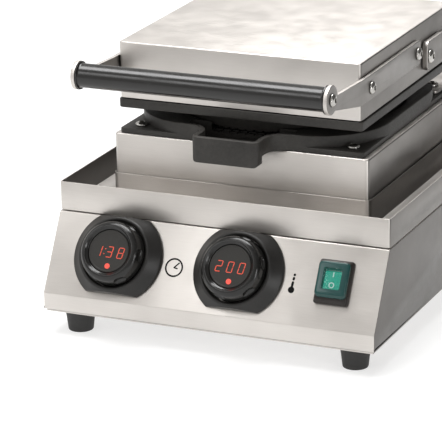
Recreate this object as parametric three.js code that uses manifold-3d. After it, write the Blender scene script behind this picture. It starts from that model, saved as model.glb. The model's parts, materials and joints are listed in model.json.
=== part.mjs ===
// Waffle cone maker: a lower and an upper cast baking plate on a stainless base with a drip tray,
// a sloped control panel with two ring knobs and a rocker switch, and a hinged, self-levelling lid.
// Millimetres, +Z up, +X to the right seen from the front. Heights are above the table, and depths
// are measured back from the drip tray's front face; the whole machine is then moved to its origin.

import * as THREE from 'three';
import { mergeVertices } from 'three/addons/utils/BufferGeometryUtils.js';
import Module from 'manifold-3d';

const wasm = await Module();
wasm.setup();

// Driving dimensions

const GAP = 0.3; // between pieces that touch
const SHEET = 1.5; // stainless sheet
const ORIGIN_DEPTH = 163.81; // from the tray's front face back to the origin

const BASE = { width: 310, rear: 365, bottom: 20.7, top: 102.1 };
const PANEL = { foldDepth: -38.4, foldHeight: 37.7, topDepth: -0.5, knobUp: 40, switchUp: 40.5 };
const FOOT = { topRadius: 13.75, bottomRadius: 11.25, across: 130, front: -17, rear: 338 };
const TRAY = { sheet: 1.3, bottom: 102.8, rim: 128.7, corner: 3, collarTop: 129.1, collarWall: 1.1 };
const PEDESTAL = { width: 240.1, depth: 240, front: 41.3, bottom: 102.4, top: 165.4, corner: 4 };
const PLATE = {
  size: 230, front: 42.3, bottom: 165.7, slabTop: 170.3, corner: 3.5,
  ringInner: 106, ringCorner: 65, ringTop: 180.3, bakingSurface: 172.4, screwInset: 14.7,
};
const SPOUT = { halfWidth: 31.5, front: 8, blockRear: 23, bottom: 157.2, wall: 5, flare: 18, edge: 5 };
const UPPER = {
  width: 229.2, front: 40.7, depth: 231.8, bottom: 189.7, top: 197.7,
  discRadius: 103, discBottom: 175.4,
};
const LID = { width: 226.5, front: 41.6, depth: 230, bottom: 198.7, top: 249.3, corner: 3 };
const ARM = { thick: 3.5, low: 214.9, high: 236.9, bendDepth: 34, rear: 180, corner: 3, eyeRadius: 12.5 };
const ARM_SCREWS = [{ end: 'front', y: 57, z: 225 }, { end: 'rear', y: 173, z: 225.5 }];
const HANDLE = { depth: -34.5, height: 238.3, radius: 10.5, flangeRadius: 12.2, flange: 1.2 };
const HINGE = { depth: 302, height: 216.8, shaftRadius: 5, halfWidth: 121.5, capRadius: 7.5 };
const LINK = {
  front: 193, pivotDepth: 200, low: 204, high: 231, corner: 5, waist: 232, neck: 256,
  radius: 9.5, thick: 5, tail: 21, tailHalf: 7,
};
const PIVOT = { radius: 4, collarRadius: 6.5 };
const BRACKET = { inner: 90, outer: 112, thick: 2.5, front: 238, earThick: 4, earFront: 277, earRear: 317 };
const STOP = { depth: 289, height: 198.8, radius: 4 };
const SCREW = { headRadius: 5.75, headHeight: 3.2, shankRadius: 3, holeRadius: 3.3 };
const KNOB_CENTRES = { time: -90.4, temperature: 24 };
const KNOB = { bore: 19.4, sleeve: 21, front: 25, scallops: 6, scallopRadius: 12, scallopDistance: 37.4 };
const BEZEL = { bore: 29, radius: 41.5, flat: 34, height: 12.2 };
const DISPLAY = { radius: 19, front: 22.5 };
const SWITCH = { across: 112, width: 31, length: 39, frame: 4, bodyWidth: 27, bodyLength: 35 };
const BOOT = { width: 28.4, length: 36, topWidth: 23, topLength: 26.5, topShift: 2, height: 10, wall: 0.9 };
const ROCKER = { width: 15, length: 19, crown: 8.2 };
const HEATER = { radius: 4, loop: 78, lowerHeight: 159.5, upperHeight: 203 };
const GLAND = { height: 58, across: 95, reach: 14 };

const plateCentre = PLATE.front + PLATE.size / 2;
const lidSide = LID.width / 2;
const armInner = lidSide + GAP;
const armOuter = armInner + ARM.thick;
const linkInner = armInner + GAP;
const linkOuter = linkInner + LINK.thick;

// Materials

const finish = (color, roughness, metalness) =>
  new THREE.MeshStandardMaterial({ color, roughness, metalness });
const metal = (color, roughness) => finish(color, roughness, 1);
const plain = (color, roughness) => finish(color, roughness, 0);
const steel = () => metal(0xc9c3bd, 0.35);
const chrome = () => metal(0xd8d8d8, 0.15);
const iron = () => metal(0x3c3a36, 0.7);
const blackPlastic = () => plain(0x1c1b1a, 0.35);
const rubber = () => plain(0x121212, 0.8);

// Solids from three.js geometry, joined and cut as closed bodies

function toSolid(geometry) {
  const bare = geometry.clone();
  bare.deleteAttribute('normal');
  bare.deleteAttribute('uv');
  const merged = mergeVertices(bare, 1e-4);
  const index = merged.index.array;
  const kept = [];
  for (let i = 0; i < index.length; i += 3) {
    const [a, b, c] = [index[i], index[i + 1], index[i + 2]];
    if (a !== b && b !== c && c !== a) kept.push(a, b, c);
  }
  return new wasm.Manifold(new wasm.Mesh({
    numProp: 3,
    vertProperties: new Float32Array(merged.attributes.position.array),
    triVerts: new Uint32Array(kept),
  }));
}

function toGeometry(solid) {
  const mesh = solid.getMesh();
  const geometry = new THREE.BufferGeometry();
  geometry.setAttribute('position', new THREE.BufferAttribute(new Float32Array(mesh.vertProperties), 3));
  geometry.setIndex(new THREE.BufferAttribute(new Uint32Array(mesh.triVerts), 1));
  geometry.computeVertexNormals();
  return geometry;
}

const join = (...bodies) => toGeometry(bodies.map(toSolid).reduce((all, body) => all.add(body)));
const cut = (body, ...tools) =>
  toGeometry(tools.map(toSolid).reduce((rest, tool) => rest.subtract(tool), toSolid(body)));
const common = (a, b) => toGeometry(toSolid(a).intersect(toSolid(b)));

// Basic shapes

const halfTurn = Math.PI;
const quarterTurn = Math.PI / 2;

function block([x0, x1], [y0, y1], [z0, z1]) {
  const geometry = new THREE.BoxGeometry(x1 - x0, y1 - y0, z1 - z0);
  return geometry.translate((x0 + x1) / 2, (y0 + y1) / 2, (z0 + z1) / 2);
}

function roundedRectangle([x0, x1], [y0, y1], r) {
  const shape = new THREE.Shape();
  shape.absarc(x1 - r, y1 - r, r, 0, quarterTurn);
  shape.absarc(x0 + r, y1 - r, r, quarterTurn, halfTurn);
  shape.absarc(x0 + r, y0 + r, r, halfTurn, 3 * quarterTurn);
  shape.absarc(x1 - r, y0 + r, r, 3 * quarterTurn, 4 * quarterTurn);
  return shape;
}

function upright(shape, [z0, z1], curveSegments = 3) {
  const geometry = new THREE.ExtrudeGeometry(shape, { depth: z1 - z0, bevelEnabled: false, curveSegments });
  return geometry.translate(0, 0, z0);
}

// A depth-height outline carried across the machine from x0 to x1.
function across(shape, [x0, x1], curveSegments = 3) {
  const geometry = new THREE.ExtrudeGeometry(shape, { depth: x1 - x0, bevelEnabled: false, curveSegments });
  const turn = new THREE.Matrix4().makeBasis(
    new THREE.Vector3(0, 1, 0), new THREE.Vector3(0, 0, 1), new THREE.Vector3(1, 0, 0));
  return geometry.applyMatrix4(turn).translate(x0, 0, 0);
}

// A profile of [radius, height] points turned about +Z.
function turned(profile, segments = 16) {
  const points = profile.map(([r, h]) => new THREE.Vector2(r, h));
  return new THREE.LatheGeometry(points, segments).rotateX(quarterTurn);
}

const cylinder = (radius, [z0, z1], segments = 24) =>
  turned([[0, z0], [radius, z0], [radius, z1], [0, z1]], segments);
const crossRod = (radius, [x0, x1], y, z, segments = 14) =>
  cylinder(radius, [x0, x1], segments).rotateY(quarterTurn).translate(0, y, z);
const moved = (geometry, x, y, z) => geometry.clone().translate(x, y, z);

// A ring whose profile is closed: counterclockwise in radius and height.
const ring = (profile, segments = 48) => turned([...profile, profile[0]], segments);

// The polygon moved inwards by a wall thickness on every side, for corners listed counterclockwise.
function inset(corners, wall) {
  return corners.map((corner, i) => {
    const before = corners[(i + corners.length - 1) % corners.length];
    const after = corners[(i + 1) % corners.length];
    const [ax, ay] = direction(before, corner);
    const [bx, by] = direction(corner, after);
    const turn = ax * by - ay * bx;
    const along = wall * (1 - (ax * bx + ay * by)) / turn;
    return [corner[0] - wall * ay - along * ax, corner[1] + wall * ax - along * ay];
  });
}

function direction([x0, y0], [x1, y1]) {
  const length = Math.hypot(x1 - x0, y1 - y0);
  return [(x1 - x0) / length, (y1 - y0) / length];
}

const polygon = (corners) => new THREE.Shape(corners.map(([x, y]) => new THREE.Vector2(x, y)));

// The machine and its sloped panel, as groups

const machine = new THREE.Group();
machine.position.y = -ORIGIN_DEPTH;
const product = new THREE.Group();
product.add(machine);

const panelRun = PANEL.topDepth - PANEL.foldDepth;
const panelRise = BASE.top - PANEL.foldHeight;
const panelTurn = Math.atan2(panelRise, panelRun);

// Local X runs to the right, Y up the panel from its lower fold and Z straight out of it.
const panel = new THREE.Group();
panel.position.set(0, PANEL.foldDepth, PANEL.foldHeight);
panel.rotation.x = panelTurn;
machine.add(panel);

function add(parent, name, geometry, material) {
  const mesh = new THREE.Mesh(toGeometry(toSolid(geometry)), material);
  mesh.name = name;
  parent.add(mesh);
  return mesh;
}

// A dome head screw with its head seat at height 0 and its shank below.
function domeScrew(length, scale = 1) {
  const head = SCREW.headRadius * scale;
  const rise = SCREW.headHeight * scale;
  const shank = SCREW.shankRadius * scale;
  const edge = 0.6 * scale;
  const profile = [[0, -length], [shank, -length], [shank, 0], [head, 0]];
  const steps = 3;
  for (let i = 0; i <= steps; i += 1) {
    const angle = quarterTurn * i / steps;
    profile.push([head * Math.cos(angle), edge + (rise - edge) * Math.sin(angle)]);
  }
  profile[profile.length - 1][0] = 0;
  return turned(profile, 10);
}

const THROUGH_SIDE = [80, 140];
const THROUGH_MACHINE = [-140, 140];
const outwards = (geometry, side) => geometry.rotateY(side * quarterTurn);

// Base: housing, bottom plate, feet

const housingOutline = [
  [PANEL.foldDepth, BASE.bottom], [BASE.rear, BASE.bottom], [BASE.rear, BASE.top],
  [PANEL.topDepth, BASE.top], [PANEL.foldDepth, PANEL.foldHeight],
];

function onPanel(geometry) {
  panel.updateMatrix();
  return geometry.applyMatrix4(panel.matrix);
}

function baseHousing() {
  const half = BASE.width / 2;
  const hollow = inset(housingOutline, SHEET);
  hollow[0][1] = BASE.bottom - 1;
  hollow[1][1] = BASE.bottom - 1;
  const knobHoles = Object.values(KNOB_CENTRES).map((x) =>
    onPanel(cylinder(KNOB.sleeve + 0.6, [-4, 4]).translate(x, PANEL.knobUp, 0)));
  const [w, l] = [SWITCH.bodyWidth / 2 + GAP, SWITCH.bodyLength / 2 + GAP];
  const switchHole = onPanel(block([-w, w], [-l, l], [-4, 4]).translate(SWITCH.across, PANEL.switchUp, 0));
  const wiringHole = block([-95, 95], [70, 250], [BASE.top - 4, BASE.top + 4]);
  const glandHole = crossDepth(cylinder(8, [-4, 4]), GLAND.across, BASE.rear, GLAND.height);
  const vents = [];
  for (let row = 0; row < 5; row += 1) {
    vents.push(block([-110, -30], [BASE.rear - 4, BASE.rear + 4], [42 + 9 * row, 46 + 9 * row]));
  }
  return cut(across(polygon(housingOutline), [-half, half]),
    across(polygon(hollow), [SHEET - half, half - SHEET]),
    ...knobHoles, switchHole, wiringHole, glandHole, ...vents);
}

// Turns a piece made along +Z to point back, away from the front.
function crossDepth(geometry, x, y, z) {
  return geometry.rotateX(-quarterTurn).translate(x, y, z);
}

const plateInset = SHEET + GAP;
const footPlaces = [['front', FOOT.front], ['rear', FOOT.rear]];
const sides = [['left', -1], ['right', 1]];
const underScrews = sides.map(([side, sign]) => ({ name: `base_screw_${side}`, x: sign * 84, y: -27 }));

function bottomPlate() {
  const half = BASE.width / 2 - plateInset;
  const plate = block([-half, half], [PANEL.foldDepth + plateInset, BASE.rear - plateInset],
    [BASE.bottom, BASE.bottom + 1.2]);
  const holes = underScrews.map(({ x, y }) => moved(cylinder(2.3, [15, 30], 8), x, y, 0));
  const footHoles = footPlaces.flatMap(([, y]) => sides.map(([, sign]) =>
    moved(cylinder(3.3, [15, 30], 8), sign * FOOT.across, y, 0)));
  return cut(plate, ...holes, ...footHoles);
}

function foot() {
  const top = BASE.bottom - GAP;
  return turned([
    [0, 0], [FOOT.bottomRadius - 1, 0], [FOOT.bottomRadius, 1.2], [FOOT.topRadius, top - 1],
    [FOOT.topRadius - 0.8, top], [3, top], [3, top + 8], [0, top + 8],
  ], 16);
}

add(machine, 'base_housing', baseHousing(), steel());
add(machine, 'bottom_plate', bottomPlate(), steel());
for (const [end, depth] of footPlaces) {
  for (const [side, sign] of sides) {
    add(machine, `foot_${end}_${side}`, moved(foot(), sign * FOOT.across, depth, 0), rubber());
  }
}
for (const { name, x, y } of underScrews) {
  const screw = domeScrew(7, 0.7).rotateX(halfTurn).translate(x, y, BASE.bottom - GAP);
  add(machine, name, screw, chrome());
}

// Drip tray and the pedestal that stands through it

function dripTray() {
  const half = BASE.width / 2;
  const pedestalHalf = PEDESTAL.width / 2;
  const rear = PEDESTAL.front + PEDESTAL.depth;
  const rim = [TRAY.bottom, TRAY.rim];
  const wall = TRAY.sheet;
  const outer = upright(roundedRectangle([-half, half], [0, BASE.rear], TRAY.corner), rim);
  const basinOutline = roundedRectangle([wall - half, half - wall], [wall, BASE.rear - wall],
    TRAY.corner - wall);
  const basin = upright(basinOutline, [TRAY.bottom + wall, TRAY.rim + 1]);
  const collarRectangle = (out, corner) => roundedRectangle([-pedestalHalf - out, pedestalHalf + out],
    [PEDESTAL.front - out, rear + out], corner);
  const clear = GAP + 0.1;
  const collar = upright(collarRectangle(clear + TRAY.collarWall, PEDESTAL.corner + 1.5),
    [TRAY.bottom, TRAY.collarTop]);
  const opening = upright(collarRectangle(clear, PEDESTAL.corner), [TRAY.bottom - 1, TRAY.collarTop + 1]);
  return cut(join(cut(outer, basin), collar), opening);
}

const cornerScrews = [];
const screwReach = PLATE.size / 2 - PLATE.screwInset;
for (const [end, y] of [['front', plateCentre - screwReach], ['rear', plateCentre + screwReach]]) {
  for (const [side, sign] of sides) {
    cornerScrews.push({ name: `plate_screw_${end}_${side}`, end, x: sign * screwReach, y });
  }
}
const screwHoles = (z0, z1) =>
  cornerScrews.map(({ x, y }) => moved(cylinder(SCREW.holeRadius, [z0, z1], 10), x, y, 0));

function pedestalShell() {
  const half = PEDESTAL.width / 2;
  const rear = PEDESTAL.front + PEDESTAL.depth;
  const outer = upright(roundedRectangle([-half, half], [PEDESTAL.front, rear], PEDESTAL.corner),
    [PEDESTAL.bottom, PEDESTAL.top]);
  const hollowOutline = roundedRectangle([SHEET - half, half - SHEET],
    [PEDESTAL.front + SHEET, rear - SHEET], PEDESTAL.corner - SHEET);
  const hollow = upright(hollowOutline, [PEDESTAL.bottom - 1, PEDESTAL.top - SHEET]);
  const heatOpening = moved(cylinder(98, [PEDESTAL.top - 5, PEDESTAL.top + 5], 48), 0, plateCentre, 0);
  return cut(outer, hollow, heatOpening, ...screwHoles(PEDESTAL.top - 5, PEDESTAL.top + 5));
}

add(machine, 'drip_tray', dripTray(), steel());
add(machine, 'lower_heater_housing', pedestalShell(), steel());

// Lower baking plate: a square cast slab with a ring wall and an overflow spout

function spoutOutline(shrink) {
  const half = SPOUT.halfWidth - shrink;
  const front = SPOUT.front + shrink;
  const flare = SPOUT.flare + shrink;
  const rear = PLATE.front + shrink;
  const shape = new THREE.Shape();
  shape.moveTo(half, front);
  shape.lineTo(half, rear - flare);
  shape.absarc(half + flare, rear - flare, flare, halfTurn, quarterTurn, true);
  shape.lineTo(half + flare, rear + 30);
  shape.lineTo(-half - flare, rear + 30);
  shape.lineTo(-half - flare, rear);
  shape.absarc(-half - flare, rear - flare, flare, quarterTurn, 0, true);
  shape.lineTo(-half, front);
  return shape;
}

function spoutBlock() {
  const { halfWidth: w, edge, bottom } = SPOUT;
  const face = new THREE.Shape();
  face.moveTo(-w, PLATE.ringTop);
  face.lineTo(-w, bottom + edge);
  face.absarc(-w + edge, bottom + edge, edge, halfTurn, 3 * quarterTurn);
  face.absarc(w - edge, bottom + edge, edge, 3 * quarterTurn, 4 * quarterTurn);
  face.lineTo(w, PLATE.ringTop);
  const length = SPOUT.blockRear - SPOUT.front;
  const geometry = new THREE.ExtrudeGeometry(face,
    { depth: length, bevelEnabled: false, curveSegments: 5 });
  return geometry.rotateX(quarterTurn).translate(0, SPOUT.blockRear, 0);
}

function lowerBakingPlate() {
  const half = PLATE.size / 2;
  const rear = PLATE.front + PLATE.size;
  const outline = (corner) => roundedRectangle([-half, half], [PLATE.front, rear], corner);
  const slab = upright(outline(PLATE.corner), [PLATE.bottom, PLATE.slabTop]);
  const strapSeat = block([BRACKET.inner - 0.8, half + 1], [BRACKET.front - 0.8, rear + 1],
    [PLATE.slabTop, PLATE.ringTop + 1]);
  const ringWall = cut(upright(outline(PLATE.ringCorner), [PLATE.bottom + 1, PLATE.ringTop]),
    strapSeat, mirrored(strapSeat));
  const mouth = upright(spoutOutline(0), [PLATE.bottom, PLATE.ringTop]);
  const well = moved(cylinder(PLATE.ringInner, [PLATE.bakingSurface, PLATE.ringTop + 1], 56),
    0, plateCentre, 0);
  const trough = upright(spoutOutline(SPOUT.wall), [PLATE.bottom + 2.2, PLATE.ringTop + 1]);
  const troughReach = common(trough,
    block([-60, 60], [0, PLATE.front + 12], [PLATE.bottom, PLATE.ringTop + 2]));
  const casting = join(slab, ringWall, mouth, spoutBlock());
  return cut(casting, well, troughReach, ...screwHoles(PLATE.bottom - 1, PLATE.ringTop));
}

add(machine, 'lower_baking_plate', lowerBakingPlate(), iron());
for (const { name, end, x, y } of cornerScrews) {
  const seat = PLATE.slabTop + GAP + (end === 'rear' ? BRACKET.thick + GAP : 0);
  add(machine, name, domeScrew(end === 'rear' ? 14 : 11).translate(x, y, seat), chrome());
}

// Rear hinge: brackets under the rear plate screws, stop rod, shaft and links

function hingeBracket(sign) {
  const strapBottom = PLATE.slabTop + GAP;
  const { inner, outer, front, earFront, earRear } = BRACKET;
  const strapHeights = [strapBottom, strapBottom + BRACKET.thick];
  const strap = upright(roundedRectangle([inner, outer], [front, earRear], 4), strapHeights);
  const earShape = roundedRectangle([earFront, earRear], [strapBottom, HINGE.height + 13], 6);
  const ear = across(earShape, [outer - BRACKET.earThick, outer]);
  const foldedFoot = block([outer - 12, outer], [earFront, earRear], strapHeights);
  const bracket = cut(join(strap, ear, foldedFoot),
    crossRod(HINGE.shaftRadius + GAP, THROUGH_SIDE, HINGE.depth, HINGE.height),
    crossRod(STOP.radius + GAP, THROUGH_SIDE, STOP.depth, STOP.height),
    moved(cylinder(SCREW.holeRadius, [160, 190], 10), cornerScrews[3].x, cornerScrews[3].y, 0));
  return sign > 0 ? bracket : mirrored(bracket);
}

// The same piece on the machine's left side.
function mirrored(geometry) {
  const copy = geometry.clone().scale(-1, 1, 1);
  const index = copy.index.array;
  for (let i = 0; i < index.length; i += 3) {
    [index[i], index[i + 1]] = [index[i + 1], index[i]];
  }
  return copy;
}

// A plate beside the lid that narrows to a bar, with a tail behind the shaft that meets the stop rod.
function hingeLink(sign) {
  const { depth, height } = HINGE;
  const { front, low, high, corner, radius, tailHalf } = LINK;
  const tailStart = depth + 8;
  const tailCorner = 2;
  const tailEnd = depth + LINK.tail - tailCorner;
  const shape = new THREE.Shape();
  shape.absarc(front + corner, high - corner, corner, quarterTurn, halfTurn);
  shape.absarc(front + corner, low + corner, corner, halfTurn, 3 * quarterTurn);
  shape.lineTo(LINK.waist, low);
  shape.lineTo(LINK.neck, height - radius);
  shape.lineTo(depth, height - radius);
  shape.lineTo(tailStart, height - tailHalf);
  shape.absarc(tailEnd, height - tailHalf + tailCorner, tailCorner, 3 * quarterTurn, 4 * quarterTurn);
  shape.absarc(tailEnd, height + tailHalf - tailCorner, tailCorner, 0, quarterTurn);
  shape.lineTo(tailStart, height + tailHalf);
  shape.lineTo(depth, height + radius);
  shape.lineTo(LINK.neck, height + radius);
  shape.lineTo(LINK.waist, high);
  const bar = cut(across(shape, [linkInner, linkOuter]),
    crossRod(HINGE.shaftRadius + GAP, THROUGH_SIDE, depth, height),
    crossRod(PIVOT.radius + GAP, THROUGH_SIDE, LINK.pivotDepth, height));
  return sign > 0 ? bar : mirrored(bar);
}

function hingeShaft() {
  const end = HINGE.halfWidth;
  const cap = linkOuter + GAP;
  const { capRadius, shaftRadius } = HINGE;
  return turned([
    [0, -end], [4, -end], [capRadius, 1.5 - end], [capRadius, -cap], [shaftRadius, -cap],
    [shaftRadius, cap], [capRadius, cap], [capRadius, end - 1.5], [4, end], [0, end],
  ], 14).rotateY(quarterTurn).translate(0, HINGE.depth, HINGE.height);
}

for (const [side, sign] of sides) {
  add(machine, `hinge_bracket_${side}`, hingeBracket(sign), steel());
  add(machine, `hinge_link_${side}`, hingeLink(sign), steel());
}
add(machine, 'lid_stop_rod',
  crossRod(STOP.radius, [-linkOuter, linkOuter], STOP.depth, STOP.height), steel());
add(machine, 'hinge_shaft', hingeShaft(), steel());

// Upper baking plate and lid housing

function upperBakingPlate() {
  const half = UPPER.width / 2;
  const rear = UPPER.front + UPPER.depth;
  const slab = upright(roundedRectangle([-half, half], [UPPER.front, rear], PLATE.corner),
    [UPPER.bottom, UPPER.top]);
  const disc = turned([
    [0, UPPER.discBottom], [UPPER.discRadius - 1, UPPER.discBottom],
    [UPPER.discRadius, UPPER.discBottom + 1], [UPPER.discRadius, UPPER.bottom + 1], [0, UPPER.bottom + 1],
  ], 56);
  return join(slab, moved(disc, 0, plateCentre, 0));
}

const armScrewHoles = () =>
  ARM_SCREWS.map(({ y, z }) => crossRod(SCREW.holeRadius, THROUGH_MACHINE, y, z, 10));

function lidHousing() {
  const rear = LID.front + LID.depth;
  const outline = (wall) => roundedRectangle([wall - lidSide, lidSide - wall],
    [LID.front + wall, rear - wall], LID.corner - wall);
  const outer = upright(outline(0), [LID.bottom, LID.top]);
  const hollow = upright(outline(SHEET), [LID.bottom - 1, LID.top - SHEET]);
  const pivotHoles = crossRod(SCREW.holeRadius, THROUGH_MACHINE, LINK.pivotDepth, HINGE.height, 12);
  return cut(outer, hollow, ...armScrewHoles(), pivotHoles);
}

function lidSeal() {
  const seat = [UPPER.top + GAP, LID.bottom - GAP];
  const frame = (wall) => roundedRectangle([wall - lidSide, lidSide - wall],
    [LID.front + wall, LID.front + LID.depth - wall], LID.corner);
  return cut(upright(frame(3), seat), upright(frame(11), [UPPER.top - 1, LID.bottom + 1]));
}

// A strip along the lid's side that bends up in front of it to a round eye on the handle's end.
function lidArm(sign) {
  const { eyeRadius, low, high, bendDepth, rear, corner } = ARM;
  const [upperMeeting, lowerMeeting] = [0.1, -1.04];
  const shape = new THREE.Shape();
  shape.moveTo(bendDepth, high);
  shape.absarc(HANDLE.depth, HANDLE.height, eyeRadius, upperMeeting, lowerMeeting + 4 * quarterTurn);
  shape.lineTo(bendDepth - 2, low);
  shape.absarc(rear - corner, low + corner, corner, -quarterTurn, 0);
  shape.absarc(rear - corner, high - corner, corner, 0, quarterTurn);
  const arm = cut(across(shape, [armInner, armOuter], 8), ...armScrewHoles(),
    crossRod(SCREW.holeRadius, THROUGH_SIDE, HANDLE.depth, HANDLE.height, 10));
  return sign > 0 ? arm : mirrored(arm);
}

function handleGrip() {
  const end = armInner - GAP;
  const { radius, flangeRadius, flange } = HANDLE;
  const grip = turned([
    [0, -end], [flangeRadius, -end], [flangeRadius, flange - end], [radius, flange - end + 1],
    [radius, end - flange - 1], [flangeRadius, end - flange], [flangeRadius, end], [0, end],
  ], 24).rotateY(quarterTurn).translate(0, HANDLE.depth, HANDLE.height);
  return cut(grip,
    crossRod(SCREW.holeRadius, [end - 14, end + 1], HANDLE.depth, HANDLE.height, 10),
    crossRod(SCREW.holeRadius, [-end - 1, 14 - end], HANDLE.depth, HANDLE.height, 10));
}

add(machine, 'upper_baking_plate', upperBakingPlate(), iron());
add(machine, 'lid_housing', lidHousing(), steel());
add(machine, 'lid_seal', lidSeal(), rubber());
add(machine, 'handle_grip', handleGrip(), blackPlastic());
// A stud in the lid's side: a collar, the bearing that the link turns on, and a domed head.
function lidPivot() {
  const outerFace = LINK.thick + GAP;
  return turned([
    [0, -8], [SCREW.shankRadius, -8], [SCREW.shankRadius, GAP - 0.1], [PIVOT.radius, GAP - 0.1],
    [PIVOT.radius, outerFace + GAP], [PIVOT.collarRadius, outerFace + GAP],
    [PIVOT.collarRadius, outerFace + 1.6],
    [5, outerFace + 3.2], [0, outerFace + 3.6],
  ], 12);
}

for (const [side, sign] of sides) {
  const seat = sign * (armOuter + GAP);
  add(machine, `lid_arm_${side}`, lidArm(sign), steel());
  const handleScrew = outwards(domeScrew(12), sign).translate(seat, HANDLE.depth, HANDLE.height);
  add(machine, `handle_screw_${side}`, handleScrew, chrome());
  for (const { end, y, z } of ARM_SCREWS) {
    const screw = outwards(domeScrew(9), sign).translate(seat, y, z);
    add(machine, `arm_screw_${end}_${side}`, screw, chrome());
  }
  const pivot = outwards(lidPivot(), sign).translate(sign * armInner, LINK.pivotDepth, HINGE.height);
  add(machine, `lid_pivot_${side}`, pivot, chrome());
}

// Heating: a tubular loop, an insulating pad and a probe for each plate

// A loop with two legs that leave it side by side towards the rear.
function heatingElement(height, legRise) {
  const { loop, radius } = HEATER;
  const points = [];
  const opening = 0.2;
  const steps = 18;
  const legY = loop + 12;
  points.push(new THREE.Vector3(-12, legY, legRise));
  points.push(new THREE.Vector3(-13, legY, 0));
  for (let i = 0; i <= steps; i += 1) {
    const angle = quarterTurn + opening + (4 * quarterTurn - 2 * opening) * i / steps;
    points.push(new THREE.Vector3(loop * Math.cos(angle), loop * Math.sin(angle), 0));
  }
  points.push(new THREE.Vector3(13, legY, 0));
  points.push(new THREE.Vector3(12, legY, legRise));
  const path = new THREE.CatmullRomCurve3(points, false, 'centripetal');
  const section = new THREE.Shape();
  section.absarc(0, 0, radius, 0, 4 * quarterTurn);
  const tube = new THREE.ExtrudeGeometry(section,
    { steps: 40, curveSegments: 4, extrudePath: path, bevelEnabled: false });
  return tube.translate(0, plateCentre, height);
}

const PROBE = { length: 11, flange: 5, radius: 3 };
const probe = turned([
  [0, 0], [PROBE.flange, 0], [PROBE.flange, 2], [PROBE.radius, 2], [PROBE.radius, 9], [2, PROBE.length],
  [0, PROBE.length],
], 10);
const lowerPad = [PEDESTAL.bottom + 18, HEATER.lowerHeight - 13];
const upperPad = [HEATER.upperHeight + 14, LID.top - SHEET - 2];
const squareSlab = (half, heights) =>
  block([-half, half], [plateCentre - half, plateCentre + half], heights);
const sheath = () => metal(0x6b6660, 0.5);
const wool = () => plain(0xd9d3c4, 0.95);

add(machine, 'lower_heating_element', heatingElement(HEATER.lowerHeight, -9), sheath());
add(machine, 'lower_insulation_pad', squareSlab(105, lowerPad), wool());
add(machine, 'lower_heat_shield', squareSlab(108, [lowerPad[1] + GAP, lowerPad[1] + 1.1]), steel());
add(machine, 'lower_temperature_probe',
  moved(probe, 0, plateCentre, PLATE.bottom - GAP - PROBE.length), chrome());
add(machine, 'upper_heating_element', heatingElement(HEATER.upperHeight, 9), sheath());
add(machine, 'upper_insulation_pad', squareSlab(105, upperPad), wool());
add(machine, 'upper_temperature_probe',
  probe.clone().rotateX(halfTurn).translate(0, plateCentre, UPPER.top + GAP + PROBE.length), chrome());

// Control panel: bezel, ring knob, fixed display and rotary encoder for each setting

const bezelProfile = [
  [BEZEL.bore, GAP], [BEZEL.radius, GAP], [BEZEL.radius, 2.8], [BEZEL.radius - 0.9, 3.5],
  [32.8, 11.6], [31.8, BEZEL.height], [30.2, BEZEL.height], [BEZEL.bore, 11.2],
];
const knobProfile = [
  [KNOB.bore, -8], [KNOB.sleeve, -8], [KNOB.sleeve, 2], [28.4, 2], [28.4, 12.6], [27.9, 14], [26.4, 21],
  [24.8, 24], [22.8, KNOB.front], [21.6, KNOB.front], [KNOB.bore, 23.2],
];
const displayProfile = [[0, -10], [DISPLAY.radius, -10], [DISPLAY.radius, DISPLAY.front - 0.5],
  [DISPLAY.radius - 0.5, DISPLAY.front], [0, DISPLAY.front]];
const encoderProfile = [[21.4, -12], [31, -12], [31, -SHEET - GAP], [21.4, -SHEET - GAP]];

function bezel() {
  const { radius, flat } = BEZEL;
  return common(ring(bezelProfile, 36), block([-radius - 1, radius + 1], [-flat, flat], [0, 20]));
}

function ringKnob() {
  const tools = [];
  for (let i = 0; i < KNOB.scallops; i += 1) {
    const angle = 4 * quarterTurn * i / KNOB.scallops;
    const [x, y] = [KNOB.scallopDistance * Math.cos(angle), KNOB.scallopDistance * Math.sin(angle)];
    tools.push(moved(cylinder(KNOB.scallopRadius, [14.2, 22.4], 20), x, y, 0));
  }
  return cut(ring(knobProfile, 32), ...tools);
}

for (const [setting, x] of Object.entries(KNOB_CENTRES)) {
  const place = (geometry) => geometry.translate(x, PANEL.knobUp, 0);
  add(panel, `bezel_${setting}`, place(bezel()), blackPlastic());
  add(panel, `knob_${setting}`, place(ringKnob()), blackPlastic());
  add(panel, `display_${setting}`, place(turned(displayProfile, 32)), plain(0x2c2a28, 0.25));
  add(panel, `encoder_${setting}`, place(ring(encoderProfile, 24)), plain(0x30402f, 0.6));
}

// Rocker switch with its clear splash boot

function rectangleSlab(width, length, [z0, z1], corner) {
  return upright(roundedRectangle([-width / 2, width / 2], [-length / 2, length / 2], corner), [z0, z1], 4);
}

function switchHousing() {
  const frame = rectangleSlab(SWITCH.width, SWITCH.length, [GAP, SWITCH.frame], 2.5);
  const [w, l] = [SWITCH.bodyWidth / 2, SWITCH.bodyLength / 2];
  const body = block([-w, w], [-l, l], [-26, 1]);
  const pocket = block([-ROCKER.width / 2 - 0.6, ROCKER.width / 2 + 0.6],
    [-ROCKER.length / 2 - 1.5, ROCKER.length / 2 + 1.5], [-7, 10]);
  const tabs = [-7, 0, 7].map((y) => block([-3, 3], [y - 0.4, y + 0.4], [-33, -25]));
  return cut(join(frame, body, ...tabs), pocket);
}

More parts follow.
